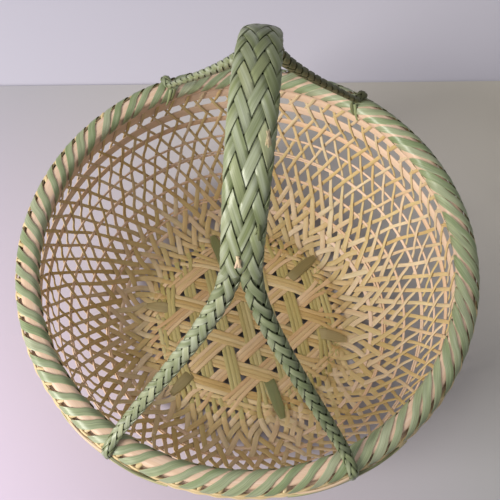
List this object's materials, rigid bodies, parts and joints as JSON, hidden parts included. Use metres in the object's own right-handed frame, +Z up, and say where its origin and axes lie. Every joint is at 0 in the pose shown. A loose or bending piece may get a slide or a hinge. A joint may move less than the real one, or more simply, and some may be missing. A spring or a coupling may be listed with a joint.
{
  "type": "handled bamboo basket",
  "caption": "Round openwork bamboo basket with a woven base, a lashed rim and a fixed arched handle that parts into two legs at each end.",
  "frame": {"origin": "middle of the basket's underside, on the surface that it stands on", "axes": "+Z up; the handle's arch lies in the YZ plane; -Y is the side towards the picture's camera"},
  "size_m": [0.2592, 0.2596, 0.281],
  "materials": {
    "straw_splint": "satin",
    "pink_splint": "satin",
    "olive_splint": "satin",
    "tan_splint": "satin",
    "green_skin": "satin"
  },
  "bodies": {
    "root": {"base_band_a1": "straw_splint", "base_band_a2": "straw_splint", "base_band_a3": "straw_splint", "base_band_a4": "straw_splint", "base_band_a5": "straw_splint", "base_band_a6": "straw_splint", "base_band_a7": "straw_splint", "base_band_a8": "straw_splint", "base_band_a9": "straw_splint", "base_band_b1": "pink_splint", "base_band_b2": "pink_splint", "base_band_b3": "pink_splint", "base_band_b4": "pink_splint", "base_band_b5": "pink_splint", "base_band_b6": "pink_splint", "base_band_b7": "pink_splint", "base_band_b8": "pink_splint", "base_band_b9": "pink_splint", "base_band_c1": "olive_splint", "base_band_c2": "olive_splint", "base_band_c3": "olive_splint", "base_band_c4": "olive_splint", "base_band_c5": "olive_splint", "base_band_c6": "olive_splint", "base_band_c7": "olive_splint", "base_band_c8": "olive_splint", "base_band_c9": "olive_splint", "base_slat_1": "green_skin", "base_slat_2": "green_skin", "base_slat_3": "green_skin", "rim_lashing": "green_skin", "handle_arch": "green_skin", "handle_leg_front_left": "green_skin", "handle_leg_front_right": "green_skin", "handle_leg_back_left": "green_skin", "handle_leg_back_right": "green_skin", "rim_tie_front_left": "green_skin", "rim_tie_front_right": "green_skin", "rim_tie_back_left": "green_skin", "rim_tie_back_right": "green_skin", "stakes_inner": "tan_splint", "stakes_outer": "tan_splint", "wall_hoop_1": "pink_splint", "wall_hoop_2": "pink_splint", "wall_hoop_3": "pink_splint", "wall_hoop_4": "pink_splint", "wall_hoop_5": "pink_splint", "wall_hoop_6": "pink_splint", "wall_hoop_7": "pink_splint", "wall_hoop_8": "pink_splint", "rim_inner_hoop": "pink_splint", "rim_outer_hoop": "pink_splint", "rim_cover": "pink_splint"}
  },
  "joints": []
}
